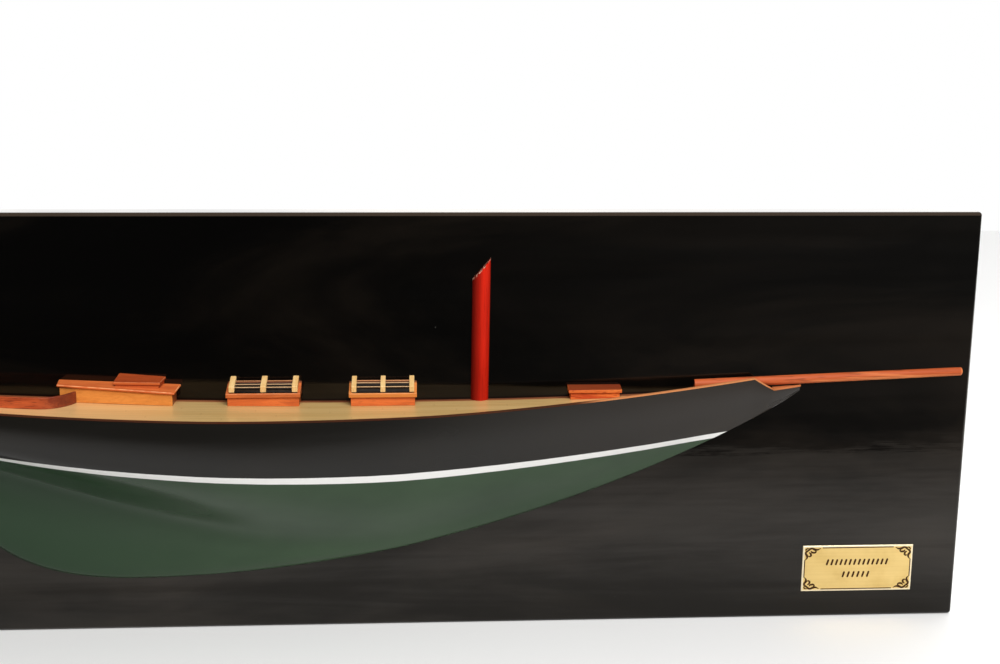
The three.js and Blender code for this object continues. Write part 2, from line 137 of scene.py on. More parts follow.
class Finish(Graph):
    """A material built of nodes round one glossy shader."""

    def __init__(self, name, **constants):
        self.material = bpy.data.materials.new(name)
        self.material.use_nodes = True
        super().__init__(self.material.node_tree)
        self.shader = self.tree.nodes["Principled BSDF"]
        for socket, value in constants.items():
            self.shader.inputs[socket.replace("_", " ")].default_value = value
        self.place = self.node("ShaderNodeTexCoord", {}, {}, "Object")

    def feed(self, **links):
        for socket, wire in links.items():
            self.tree.links.new(wire.socket, self.shader.inputs[socket.replace("_", " ")])

    def facing(self):
        """How far the surface faces forward, into the wall and up."""
        return self.axes(self.node("ShaderNodeNewGeometry", {}, {}, "Normal"))

    def noise(self, scale, stretch=(1, 1, 1), detail=3.0, roughness=0.5, shift=(0, 0, 0), twist=0.0):
        """Cloudy noise of so many lumps a metre, drawn out along the axes."""
        laying = {"Vector": self.place, "Scale": stretch, "Location": shift}
        laid = self.node("ShaderNodeMapping", {}, laying)
        sockets = {"Vector": laid, "Scale": scale, "Detail": detail, "Roughness": roughness}
        return self.node("ShaderNodeTexNoise", {}, {**sockets, "Distortion": twist})

    def mix(self, share, first, second):
        sockets = {0: share, 6: first, 7: second}
        return self.node("ShaderNodeMix", {"data_type": "RGBA"}, sockets, 2)

    def dulled(self, share, colour):
        """Lets a plain dull surface of the given colour cover the glossy one by a share."""
        dull = self.node("ShaderNodeBsdfDiffuse", {}, {"Color": colour})
        gloss = Wire(self, self.shader.outputs[0])
        both = self.node("ShaderNodeMixShader", {}, {0: share, 1: gloss, 2: dull})
        self.tree.links.new(both.socket, self.tree.nodes["Material Output"].inputs["Surface"])

    def bump(self, height, strength, distance):
        sockets = {"Height": height, "Strength": strength, "Distance": distance}
        return self.node("ShaderNodeBump", {}, sockets)


def merged(node, flatten=0.0):
    """A CAD node's surface, its triangles joined and, if asked, its flat faces made whole."""
    shell = bmesh.new()
    shell.from_mesh(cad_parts[node].data)
    bmesh.ops.remove_doubles(shell, verts=shell.verts, dist=1e-6)
    if flatten:
        angle = math.radians(flatten)
        bmesh.ops.dissolve_limit(shell, angle_limit=angle, verts=shell.verts, edges=shell.edges)
    return shell


def eased(piece, width, rounds, sharp):
    """Rounds a piece's edges, where its faces turn by more than the given angle."""
    bevel = piece.modifiers.new("eased edges", "BEVEL")
    bevel.width = width
    bevel.segments = rounds
    bevel.limit_method = "ANGLE"
    bevel.angle_limit = math.radians(sharp)
    bevel.harden_normals = True


def finished(name, shell, finish, nodes, edge=0.0, rounds=3, sharp=40.0):
    """A piece of the given surface and finish, with eased edges, in the place of its nodes."""
    mesh = bpy.data.meshes.new(name)
    shell.to_mesh(mesh)
    shell.free()
    mesh.materials.append(finish.material)
    mesh.polygons.foreach_set("use_smooth", [True] * len(mesh.polygons))
    mesh.set_sharp_from_angle(angle=math.radians(sharp))
    piece = bpy.data.objects.new(name, mesh)
    bpy.context.scene.collection.objects.link(piece)
    if edge:
        eased(piece, edge, rounds, sharp)
    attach(piece, "root")
    if nodes:
        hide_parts(*nodes)
    return piece


lacquer = Finish(
    "board_lacquer", IOR=1.35, Specular_Tint=gloss_tint,
    Coat_IOR=1.4, Coat_Roughness=0.09, Coat_Tint=gloss_tint,
)
haze = lacquer.noise(6, (0.5, 1, 1.8), detail=5, roughness=0.62, twist=0.8)
wiping = lacquer.noise(15, (0.16, 1, 3.0), detail=6, roughness=0.66, shift=(3, 1, 2), twist=0.5)
waves = lacquer.noise(9, (0.35, 1, 1.9), detail=4, roughness=0.5, shift=(6, 2, 5), twist=0.4)
specks = lacquer.noise(620, detail=1, shift=(1, 4, 2))
dust = lacquer.step(specks, 0.83, 0.86)
clouded = lacquer.mix(lacquer.step(haze, 0.40, 0.75), board_black, board_haze)
lacquer.feed(
    Base_Color=lacquer.mix(0.6 * dust, clouded, board_dust),
    Roughness=0.05 + 0.07 * lacquer.step(wiping, 0.38, 0.72) + 0.04 * lacquer.step(haze, 0.45, 0.8),
    Coat_Weight=0.60 * lacquer.step(0.6 * wiping + 0.4 * haze, 0.40, 0.66),
    Normal=lacquer.bump(waves + 0.02 * lacquer.noise(160, detail=2) + 0.10 * wiping, 0.5, 0.0016),
)
# Painted reflection: the upward-facing rounded edges are covered with a dull brown.
_, _, up = lacquer.facing()
upper_edge_reflection = lacquer.step(up, 0.03, 0.12) * (1 - lacquer.step(up, 0.93, 0.99))
lacquer.dulled(upper_edge_reflection, board_edge_reflection)
finished("board", merged("backboard", 1), lacquer, ["backboard"], edge=board_edge)


# The half hull
# Carved from one block of wood to the lines of a deep, narrow cutter, sanded fair and sprayed.
# Charcoal topsides, a masked white waterline and green below it, all in satin paint.

hull_cuts = 3
hull_round = 20
hull_kink = 0.3
charcoal = (0.0090, 0.0082, 0.0068, 1)
charcoal_worn = (0.0155, 0.0125, 0.0088, 1)
charcoal_bow = {"colour": (0.0220, 0.0170, 0.0130, 1), "from_x": 0.12, "to_x": 0.28}
stem_painted_shading = {"colour": (0.030, 0.024, 0.019, 1), "from_x": 0.25, "to_x": 0.27}
bottom_green = (0.0240, 0.0510, 0.0225, 1)
bottom_green_pale = (0.0400, 0.0740, 0.0360, 1)
bottom_green_aft_shade = {"colour": (0.0120, 0.0370, 0.0130, 1), "from_x": -0.16, "to_x": 0.06}
waterline_white = (0.86, 0.85, 0.82, 1)
waterline = {
    "low_x": 0.080, "low_z": -0.0195,
    "fore_rise": 0.0132, "fore_reach": 0.214, "fore_curve": 1.6,
    "aft_rise": 0.0112, "aft_reach": 0.212, "aft_curve": 2.0,
    "width": 0.0046, "widest_x": 0.110, "fore_taper": 0.0072, "aft_taper": 0.0062,
    "edge": 0.00016, "wander": 0.0003,
}


def without_hub(loop):
    """An end section without the point in the middle of the end's face."""
    hub = np.linalg.norm(loop - loop.mean(axis=0), axis=1).argmin()
    return np.delete(loop, hub, axis=0)


def cross_sections(node):
    """The CAD hull's cross sections from the stern to the bow, each a loop from the keel's foot."""
    shell = merged(node)
    planes = {}
    for vert in shell.verts:
        planes.setdefault(round(vert.co.x, 6), set()).add(vert)
    loops = []
    for _, ring in sorted(planes.items()):
        within = {e for v in ring for e in v.link_edges if e.other_vert(v) in ring}
        rim = [e for e in within if any(set(face.verts) - ring for face in e.link_faces)]
        beside = {v: [e.other_vert(v) for e in rim if v in e.verts] for v in ring}
        here = min((v for v in ring if beside[v]), key=lambda v: (round(v.co.z, 6), -v.co.y))
        ahead = min(beside[here], key=lambda v: v.co.y)
        loop = [here]
        while ahead != loop[0]:
            loop.append(ahead)
            here, ahead = ahead, next(v for v in beside[ahead] if v != here)
        loops.append(np.array([v.co for v in loop]))
    shell.free()
    size = min(len(loop) for loop in loops)
    return np.array([without_hub(loop) if len(loop) > size else loop for loop in loops])


def faired(rows, stops, cuts, kink=math.inf):
    """More rows between rows of points, on fair curves that stay broken where they kink."""
    gaps = np.diff(stops)[:, None, None]
    slopes = np.diff(rows, axis=0) / gaps
    middle = (slopes[:-1] * gaps[1:] + slopes[1:] * gaps[:-1]) / (gaps[:-1] + gaps[1:])
    kinked = np.linalg.norm(slopes[1:] - slopes[:-1], axis=2, keepdims=True) > kink
    leaving = np.concatenate([slopes[:1], np.where(kinked, slopes[1:], middle)])
    coming = np.concatenate([np.where(kinked, slopes[:-1], middle), slopes[-1:]])
    out = []
    for i, gap in enumerate(gaps[:, 0, 0]):
        for t in np.arange(cuts) / cuts:
            start = (1 + 2 * t) * (1 - t) ** 2 * rows[i] + t * (1 - t) ** 2 * gap * leaving[i]
            end = t * t * (3 - 2 * t) * rows[i + 1] + t * t * (t - 1) * gap * coming[i]
            out.append(start + end)
    return np.array([*out, rows[-1]])


def skin(rings, shell=None):
    """A closed surface over rings of points, with a face on each end."""
    shell = shell or bmesh.new()
    verts = [[shell.verts.new(point) for point in ring] for ring in rings]
    for near, far in zip(verts, verts[1:]):
        for i in range(len(near)):
            j = (i + 1) % len(near)
            shell.faces.new((near[i], near[j], far[j], far[i]))
    shell.faces.new(verts[0])
    shell.faces.new(verts[-1])
    bmesh.ops.recalc_face_normals(shell, faces=shell.faces)
    return shell


def fair_section(loop):
    """A hull section with its outer curve drawn finer, and its top and back as they are."""
    outer = loop[: hull_round + 1]
    girth = np.concatenate([[0], np.cumsum(np.linalg.norm(np.diff(outer, axis=0), axis=1))])
    return np.concatenate([faired(outer[:, None], girth, hull_cuts)[:, 0], loop[hull_round + 1 :]])


def forward(finish, stretch):
    """0 aft of a stretch along the board, 1 forward of it."""
    return finish.step(finish.axes(finish.place)[0], stretch["from_x"], stretch["to_x"])


sections = cross_sections("half_hull")
fine = np.array([fair_section(loop) for loop in sections])
hull_rings = faired(fine, sections[:, 0, 0], hull_cuts, kink=hull_kink)

paint = Finish("hull_paint", IOR=1.38)
x, _, z = paint.axes(paint.place)
fore = ((x - waterline["low_x"]) / waterline["fore_reach"]).over(0)
aft = ((waterline["low_x"] - x) / waterline["aft_reach"]).over(0)
top = (
    waterline["low_z"]
    + waterline["fore_rise"] * fore ** waterline["fore_curve"]
    + waterline["aft_rise"] * aft ** waterline["aft_curve"]
)
width = (
    waterline["width"]
    - waterline["fore_taper"] * (x - waterline["widest_x"]).over(0)
    - waterline["aft_taper"] * (waterline["widest_x"] - x).over(0)
)
above = z - top + waterline["wander"] * (paint.noise(60, detail=2) - 0.5)
topsides = paint.step(above, -waterline["edge"], waterline["edge"])
not_green = paint.step(above + width, -waterline["edge"], waterline["edge"])
stripe = not_green - topsides
brushed = paint.noise(40, (0.25, 1, 3), detail=5, roughness=0.6, shift=(2, 7, 1))
mottled = paint.noise(11, (0.5, 1, 1), detail=4, roughness=0.6, shift=(5, 2, 9))
dark = paint.mix(paint.step(mottled, 0.35, 0.75), charcoal, charcoal_worn)
dark = paint.mix(0.8 * forward(paint, charcoal_bow), dark, charcoal_bow["colour"])
green = paint.mix(paint.step(mottled, 0.3, 0.7), bottom_green, bottom_green_pale)
# Painted shade: the green is darker aft, where the hull turns away from the light.
green = paint.mix(1 - forward(paint, bottom_green_aft_shade), green, bottom_green_aft_shade["colour"])
grit = paint.noise(900, detail=2)
paint.feed(
    Base_Color=paint.mix(topsides, paint.mix(not_green, green, waterline_white), dark),
    Roughness=0.17 + 0.07 * paint.step(brushed, 0.35, 0.7) + 0.10 * stripe,
    Normal=paint.bump(0.5 * brushed + 0.12 * grit + 1.2 * stripe, 0.35, 0.00008),
)
# Painted shading: near the bow, the stem face that points forward is a flat dull brown-grey.
facing_ahead, _, _ = paint.facing()
stem_face_shading = paint.step(facing_ahead, 0.45, 0.65) * forward(paint, stem_painted_shading) * topsides
paint.dulled(0.8 * stem_face_shading, stem_painted_shading["colour"])
finished("hull", skin(hull_rings), paint, ["half_hull"], sharp=38)


# The deck
# Thin strips of pale wood laid fore and aft in the hull's top, with fine dark caulking and
# staggered joints, under a coat of clear varnish.

plank = {"width": 0.0036, "seam": 0.00032, "length": 0.118, "shift": 0.37}
deck_pale = (0.74, 0.50, 0.205, 1)
deck_warm = (0.60, 0.375, 0.130, 1)
deck_caulk = (0.22, 0.100, 0.030, 1)
deck_aft_highlight = {"colour": (1.0, 0.58, 0.28, 1), "from_x": -0.10, "to_x": 0.0}
deck_fore = {"colour": (0.95, 0.52, 0.20, 1), "from_x": 0.17, "to_x": 0.23}


def caulked(finish, count, share):
    """1 in the gap between planks, whose count goes up by one from each plank to the next."""
    from_middle = (count.part() - 0.5).size()
    return finish.step(from_middle, 0.5 - 1.5 * share, 0.5 - 0.6 * share)


def wear_and_painted_light(finish, share, colour):
    """Another colour over a finish, where its share says so: the wood's own tones and wear, and painted
    light and shade.
    """
    under = finish.shader.inputs["Base Color"].links[0].from_socket
    finish.feed(Base_Color=finish.mix(share, Wire(finish, under), colour))


deck_wood = Finish("deck_wood", IOR=1.5, Coat_Weight=0.35, Coat_Roughness=0.12)
x, y, _ = deck_wood.axes(deck_wood.place)
across = (y + 1) / plank["width"]
strake = across.whole()
tone = deck_wood.node("ShaderNodeTexWhiteNoise", {"noise_dimensions": "1D"}, {"W": strake})
along = (x + 1) / plank["length"] + strake * plank["shift"]
seam = caulked(deck_wood, across, plank["seam"] / plank["width"] / 2)
joint = caulked(deck_wood, along, plank["seam"] / plank["length"] / 2)
caulk = seam.over(joint)
grain = deck_wood.noise(190, (0.06, 1, 1), detail=6, roughness=0.62, twist=0.4)
figure = 0.55 * tone + 0.45 * deck_wood.step(grain, 0.3, 0.75)
planks = deck_wood.mix(figure, deck_pale, deck_warm)
deck_wood.feed(
    Base_Color=deck_wood.mix(0.42 * caulk, planks, deck_caulk),
    Roughness=0.26 + 0.12 * grain,
    Normal=deck_wood.bump(0.3 * grain - caulk, 0.3, 0.00012),
)
# Painted highlight: the deck is paler and pinker towards its aft end.
wear_and_painted_light(deck_wood, 0.35 * (1 - forward(deck_wood, deck_aft_highlight)), deck_aft_highlight["colour"])
wear_and_painted_light(deck_wood, 0.45 * forward(deck_wood, deck_fore), deck_fore["colour"])
finished("deck_planks", merged("deck"), deck_wood, ["deck"])


# Rail cap, king plank and stem cap
# Narrow mahogany strips, bent and glued on the edge of the hull, along the board and on the
# head of the stem, and varnished. The one along the board is painted dark along its back edge,
# painted shade where it meets the board.

glue = 0.0003
mahogany_pore_and_shade = (0.08, 0.016, 0.006, 1)
cap_brown = (0.085, 0.028, 0.011, 1)
cap_dark = (0.045, 0.013, 0.006, 1)
bow_cap = {"colour": (0.68, 0.260, 0.095, 1), "from_x": 0.200, "to_x": 0.222}
bow_cap_end = {"from_x": 0.320, "to_x": 0.340}
stem_wood = {"colour": (0.60, 0.190, 0.065, 1), "from_x": 0.316, "to_x": 0.328}
king_pale = (0.42, 0.150, 0.060, 1)
king_dark = (0.24, 0.070, 0.025, 1)
king_board_shade = {"far": 0.0014, "near": 0.0008}
board_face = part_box("backboard")[0].y


def wood(
    name, pale, dark, pore, gloss=0.30, grain=(0.09, 1, 1), coarse=120, coat=0.12, pitted=0.6, ior=1.33,
):
    """A varnished wood with its grain drawn out along one axis of the model."""
    made = Finish(name, IOR=ior, Coat_Weight=coat, Coat_Roughness=0.12)
    rings = made.noise(coarse, grain, detail=6, roughness=0.68, twist=0.9)
    flow = made.noise(coarse / 5, grain, detail=3, shift=(4, 1, 7))
    pores = made.noise(coarse * 6, grain, detail=2, shift=(2, 8, 3))
    pits = made.step(pores, 0.56, 0.68)
    bands = 0.65 * made.step(rings, 0.36, 0.64) + 0.35 * made.step(flow, 0.35, 0.65)
    made.feed(
        Base_Color=made.mix(pitted * pits, made.mix(bands, pale, dark), pore),
        Roughness=gloss + 0.16 * rings - 0.07,
        Normal=made.bump(0.4 * rings - 0.6 * pits, 0.3, 0.00008),
    )
    return made


def near_board(finish, strip):
    """0 further out from the board's face than a strip, 1 closer to it."""
    _, y, _ = finish.axes(finish.place)
    return finish.step(y, board_face - strip["far"], board_face - strip["near"])


def seated(shell):
    """Lowers the underside of a surface through the glue, on to what carries it."""
    under = {v for face in shell.faces if face.normal.z < -0.5 for v in face.verts}
    for vert in under:
        vert.co.z -= glue
    return shell


# The strip on the hull's edge is dark but for a pale stretch on the bow and the stem's wedge.
cap_wood = wood("rail_wood", cap_brown, cap_dark, mahogany_pore_and_shade, gloss=0.45, coat=0.0, ior=1.2)
pale_stretch = forward(cap_wood, bow_cap) * (1 - forward(cap_wood, bow_cap_end))
wear_and_painted_light(cap_wood, 0.9 * pale_stretch, bow_cap["colour"])
wear_and_painted_light(cap_wood, 0.9 * forward(cap_wood, stem_wood), stem_wood["colour"])
finished("rail", seated(merged("rail_cap")), cap_wood, ["rail_cap"])
finished("stem_wedge", seated(merged("stem_cap")), cap_wood, ["stem_cap"])
king_wood = wood("king_wood", king_pale, king_dark, mahogany_pore_and_shade, gloss=0.36)
# Painted shade: the king strip turns pore brown close to the board.
wear_and_painted_light(king_wood, 0.8 * near_board(king_wood, king_board_shade), mahogany_pore_and_shade)
finished("king_strip", merged("king_plank"), king_wood, ["king_plank"])


# The mast
# A half-round stub of red-stained wood glued against the board, sawn off slantwise by hand, with
# small pale flecks along the sawn edge. Painted shade darkens the stain on its after side, on its
# forward edge by the board and low at its foot.

mast_foot = {"x": 0.1452, "radius": 0.0054}
mast_head = {"x": 0.1462, "radius": 0.0055, "low_z": 0.0901, "slope": 1.17}
spar_sides = 28
mast_rings = 26
tooth = 0.0005
stain_red = (0.68, 0.020, 0.006, 1)
stain_dark = (0.48, 0.012, 0.004, 1)
stain_pore = (0.20, 0.008, 0.004, 1)
stain_painted_shade = (0.16, 0.006, 0.003, 1)
fleck_pale = (0.75, 0.42, 0.30, 1)
fleck_depth = {"low": -0.0010, "high": -0.0002}
foot_shade_height = {"low": 0.015, "high": 0.055}


def between(first, last, share):
    """A measure part of the way from a first one to a last."""
    return first + (last - first) * share


def half_round(radius):
    """Steps along the board and out of it round half a circle."""
    angles = [math.pi * i / spar_sides for i in range(spar_sides + 1)]
    return [(radius * math.cos(a), radius * math.sin(a)) for a in angles]


foot_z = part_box("mast")[0].z - 2 * glue
cut_x = mast_head["x"] - mast_head["radius"]
mast_loops = []
for ring in range(mast_rings + 1):
    share = ring / mast_rings
    centre = between(mast_foot["x"], mast_head["x"], share)
    radius = between(mast_foot["radius"], mast_head["radius"], share)
    loop = []
    for number, (aside, out) in enumerate(half_round(radius)):
        cut = mast_head["low_z"] + mast_head["slope"] * (centre + aside - cut_x)
        ragged = tooth * math.sin(7.3 * number) * math.sin(2.9 * number + 1) * share ** 12
        loop.append((centre + aside, board_face - out, between(foot_z, cut, share) + ragged))
    mast_loops.append(loop)

red = wood(
    "red_stain", stain_red, stain_dark, stain_pore,
    gloss=0.45, grain=(1, 1, 0.05), coarse=240, coat=0.0, pitted=0.3, ior=1.18,
)
x, _, z = red.axes(red.place)
facing_ahead, _, _ = red.facing()
# Painted shade on the round: darker on the after side, along the forward edge and at the foot.
wear_and_painted_light(red, 0.88 * (1 - red.step(facing_ahead, -0.90, 0.25)), stain_painted_shade)
wear_and_painted_light(red, 0.30 * (1 - red.step(z, foot_shade_height["low"], foot_shade_height["high"])), stain_painted_shade)
wear_and_painted_light(red, 0.55 * red.step(facing_ahead, 0.88, 1.0), stain_painted_shade)
# Small pale flecks along the sawn edge.
cut_z = mast_head["low_z"] + mast_head["slope"] * (x - cut_x)
near_cut = red.step(z - cut_z, fleck_depth["low"], fleck_depth["high"])
flecked = red.step(red.noise(700, detail=2, shift=(6, 6, 1)), 0.50, 0.56)
wear_and_painted_light(red, near_cut * flecked, fleck_pale)
finished("mast_stub", skin(mast_loops), red, ["mast"], sharp=50)


# The bowsprit
# A long half-round spar of light mahogany lying on the bow and against the board, rounded over
# at its tip, with pale streaks where the varnish was rubbed thin.

spar_heel = {"x": 0.277, "z": 0.0242, "radius": 0.0030}
spar_tip = {"x": 0.4443, "z": 0.0310, "radius": 0.0026, "round": 0.0012}
spar_rings = 24
tip_rings = 5
spar_pale = (0.60, 0.118, 0.032, 1)
spar_deep = (0.46, 0.082, 0.018, 1)
spar_rubbed = (0.90, 0.30, 0.095, 1)
tip_rubbed = {"from_x": spar_tip["x"] - 0.0016, "to_x": spar_tip["x"] - 0.0004}

round_x = spar_tip["x"] - spar_tip["round"]
stops = [between(spar_heel["x"], round_x, i / spar_rings) for i in range(spar_rings + 1)]
for i in range(1, tip_rings + 1):
    stops.append(spar_tip["x"] - spar_tip["round"] * (1 - math.sin(math.pi / 2 * i / tip_rings)))
spar_loops = []
for stop in stops:
    share = (stop - spar_heel["x"]) / (spar_tip["x"] - spar_heel["x"])
    centre = between(spar_heel["z"], spar_tip["z"], share)
    past = max(0.0, (stop - round_x) / spar_tip["round"])
    radius = between(spar_heel["radius"], spar_tip["radius"], share)
    radius -= spar_tip["round"] * (1 - math.sqrt(max(0.0, 1 - past * past)))
    spar_loops.append([(stop, board_face - out, centre + up) for up, out in half_round(radius)])

spar_wood = wood(
    "bowsprit_wood", spar_pale, spar_deep, mahogany_pore_and_shade,
    gloss=0.58, grain=(0.05, 1, 1), coarse=200, coat=0.0,
)
thin = spar_wood.noise(110, (0.10, 1, 1.6), detail=4, shift=(9, 3, 3))
streaks = spar_wood.step(thin, 0.50, 0.68)
wear_and_painted_light(spar_wood, (0.85 * streaks).over(0.7 * forward(spar_wood, tip_rubbed)), spar_rubbed)
finished("bowsprit_spar", skin(spar_loops), spar_wood, ["bowsprit"], sharp=50)


# The deckhouse
# Low mahogany walls on the deck, a sloping roof with a rounded edge that stands out all round,
# and on it a low block that carries the flat sliding hatch.

wall_edge = 0.0003
roof_edge = 0.0007
hatch_edge = 0.0004
house_rounds = 4
house_flatten = 6
wall_gold = (0.82, 0.300, 0.060, 1)
wall_brown = (0.62, 0.200, 0.034, 1)
wall_pore = (0.40, 0.100, 0.016, 1)
wall_end_grain_shade = (0.22, 0.042, 0.014, 1)
roof_red = (0.84, 0.205, 0.048, 1)
roof_brown = (0.62, 0.120, 0.030, 1)
worn_edge_highlight = (0.95, 0.460, 0.200, 1)
hatch_red = (0.44, 0.072, 0.015, 1)
hatch_brown = (0.28, 0.040, 0.009, 1)
hatch_front_highlight = (0.66, 0.150, 0.034, 1)


def raised(shell):
    """Raises the top of a surface through the glue, up to what it carries."""
    over = {v for face in shell.faces if face.normal.z > 0.5 for v in face.verts}
    for vert in over:
        vert.co.z += glue
    return shell


def edge_wear_and_highlight(finish, colour, most):
    """A paler colour along the rounded edges, where neither side nor top faces out flat: varnish rubbed
    thin, and a painted highlight where the edges catch the light.
    """
    _, _, up = finish.facing()
    slope = finish.step(up, 0.25, 0.5) * (1 - finish.step(up, 0.80, 0.95))
    patchy = finish.step(finish.noise(260, detail=3, shift=(8, 5, 2)), 0.35, 0.6)
    wear_and_painted_light(finish, most * slope * patchy, colour)


def end_grain_and_shade(finish, colour, most):
    """End grain, which drinks varnish and turns dark, on the faces across the length, with painted
    shade on those faces where the light only glances past them.
    """
    ahead, _, _ = finish.facing()
    wear_and_painted_light(finish, most * finish.step(ahead * ahead, 0.6, 0.85), colour)


walls = wood(
    "deckhouse_walls", wall_gold, wall_brown, wall_pore,
    gloss=0.42, grain=(0.16, 1, 1), coarse=330, pitted=0.2,
)
end_grain_and_shade(walls, wall_end_grain_shade, 0.85)
roofing = wood(
    "deckhouse_roof", roof_red, roof_brown, mahogany_pore_and_shade, gloss=0.40, coarse=260, pitted=0.25
)
edge_wear_and_highlight(roofing, worn_edge_highlight, 0.75)
hatching = wood(
    "hatch_wood", hatch_red, hatch_brown, mahogany_pore_and_shade, gloss=0.40, coarse=260, pitted=0.25
)
edge_wear_and_highlight(hatching, worn_edge_highlight, 0.5)
# Painted highlight: the hatch's faces that look out from the wall are lighter.
_, inwards, _ = hatching.facing()
wear_and_painted_light(hatching, 0.8 * (1 - hatching.step(inwards, -0.9, -0.6)), hatch_front_highlight)
for name, node, finish, edge in (
    ("deckhouse_walls", "deckhouse", walls, wall_edge),
    ("hatch_slides", "hatch_runners", hatching, wall_edge),
):
    shell = raised(seated(merged(node, house_flatten)))
    finished(name, shell, finish, [node], edge=edge, rounds=house_rounds)
for name, node, finish, edge in (
    ("deckhouse_top", "deckhouse_roof", roofing, roof_edge),
    ("hatch_board", "sliding_hatch", hatching, hatch_edge),
):
    shell = merged(node, house_flatten)
    finished(name, shell, finish, [node], edge=edge, rounds=house_rounds)


# The cockpit coaming
# One thin strip of red mahogany, steamed and bent edgewise from the deckhouse's side round the
# cockpit to the board, with its upper edge rubbed round. It is painted darker where it meets the
# house, as painted shade at the join.

coaming_edge = 0.0004
coaming_sharp = 50
coaming_fineness = 2
coaming_red = (0.74, 0.150, 0.042, 1)
coaming_dark = (0.30, 0.044, 0.014, 1)
coaming_pore = (0.10, 0.014, 0.008, 1)
coaming_join_shade = {"colour": (0.110, 0.020, 0.010, 1), "from_x": -0.118, "to_x": -0.096}

coaming_wood = wood(
    "coaming_wood", coaming_red, coaming_dark, coaming_pore, gloss=0.34, coarse=240
)
# Painted shade: the coaming darkens towards its join with the deckhouse.
wear_and_painted_light(coaming_wood, 0.75 * forward(coaming_wood, coaming_join_shade), coaming_join_shade["colour"])
strip = seated(merged("cockpit_coaming"))
bmesh.ops.join_triangles(
    strip, faces=strip.faces,
    angle_face_threshold=math.radians(40), angle_shape_threshold=math.radians(180),
)
creases = strip.edges.layers.float.new("crease_edge")
for edge in strip.edges:
    if edge.calc_face_angle(0) > math.radians(coaming_sharp):
        edge[creases] = 1
coaming = finished("coaming_strip", strip, coaming_wood, ["cockpit_coaming"])
smoothing = coaming.modifiers.new("bent smooth", "SUBSURF")
smoothing.levels = smoothing.render_levels = coaming_fineness
eased(coaming, coaming_edge, 3, coaming_sharp)


# The two skylights
# A small mahogany box on the deck, a sloping lid with a black pane let into it, three pale ribs
# standing on the lid and three thin brass rods run through them, parallel to the board.

box_edge = 0.0003
lid_edge = 0.00035
pane_edge = 0.0001
box_flatten = 6
lid_flatten = 3
rib = {"back": 0.0032, "front": 0.0037, "edge": 0.00035}
rod = {"radius": 0.00042, "sides": 14}
rib_pale = (0.95, 0.66, 0.30, 1)
rib_warm = (0.80, 0.46, 0.15, 1)
rib_pore = (0.50, 0.24, 0.07, 1)
lid_gold = (0.68, 0.172, 0.042, 1)
lid_brown = (0.46, 0.095, 0.022, 1)
lid_board_shadow = {"colour": (0.130, 0.034, 0.014, 1), "far": 0.0030, "near": 0.0016}
lid_golden = {"colour": (0.78, 0.285, 0.055, 1), "from_x": 0.050, "to_x": 0.060}
box_gold = (0.84, 0.200, 0.044, 1)
box_brown = (0.56, 0.105, 0.022, 1)
box_end_grain_shade = (0.17, 0.045, 0.014, 1)
brass_pale = (0.62, 0.44, 0.24, 1)
brass_brown = (0.40, 0.20, 0.09, 1)
rod_browner_by_board = {"colour": (0.50, 0.190, 0.070, 1), "far": 0.0055, "near": 0.0048}
pane_deep = (0.006, 0.0035, 0.0025, 1)
pane_dusty = (0.024, 0.014, 0.010, 1)


def row_tree():
    """Geometry nodes that set copies of a shape in a straight row."""
    tree = bpy.data.node_groups.new("row of copies", "GeometryNodeTree")
    face = tree.interface
    face.new_socket("Shape", in_out="INPUT", socket_type="NodeSocketGeometry")
    face.new_socket("Count", in_out="INPUT", socket_type="NodeSocketInt")
    face.new_socket("Start", in_out="INPUT", socket_type="NodeSocketVector")
    face.new_socket("Step", in_out="INPUT", socket_type="NodeSocketVector")
    face.new_socket("Finish", in_out="INPUT", socket_type="NodeSocketMaterial")
    face.new_socket("Row", in_out="OUTPUT", socket_type="NodeSocketGeometry")
    given, line, copies, real, coat, result = (
        tree.nodes.new(kind)
        for kind in (
            "NodeGroupInput", "GeometryNodeMeshLine", "GeometryNodeInstanceOnPoints",
            "GeometryNodeRealizeInstances", "GeometryNodeSetMaterial", "NodeGroupOutput",
        )
    )
    for out, into in (
        (given.outputs["Count"], line.inputs["Count"]),
        (given.outputs["Start"], line.inputs["Start Location"]),
        (given.outputs["Step"], line.inputs["Offset"]),
        (line.outputs[0], copies.inputs["Points"]),
        (given.outputs["Shape"], copies.inputs["Instance"]),
        (copies.outputs[0], real.inputs[0]),
        (real.outputs[0], coat.inputs["Geometry"]),
        (given.outputs["Finish"], coat.inputs["Material"]),
        (coat.outputs[0], result.inputs[0]),
    ):
        tree.links.new(out, into)
    return tree


def in_a_row(name, shell, finish, count, start, step):
    """The given shape, copied in a row by geometry nodes and made one plain surface."""
    mesh = bpy.data.meshes.new(name)
    shell.to_mesh(mesh)
    shell.free()
    pattern = bpy.data.objects.new(name, mesh)
    bpy.context.scene.collection.objects.link(pattern)
    laying = pattern.modifiers.new("row", "NODES")
    laying.node_group = row_of_copies
    sizes = {"Count": count, "Start": start, "Step": step, "Finish": finish.material}
    for socket in row_of_copies.interface.items_tree:
        if socket.name in sizes:
            laying[socket.identifier] = sizes[socket.name]
    depsgraph = bpy.context.evaluated_depsgraph_get()
    plain = bpy.data.meshes.new_from_object(pattern.evaluated_get(depsgraph))
    bpy.data.objects.remove(pattern)
    result = bmesh.new()
    result.from_mesh(plain)
    return result


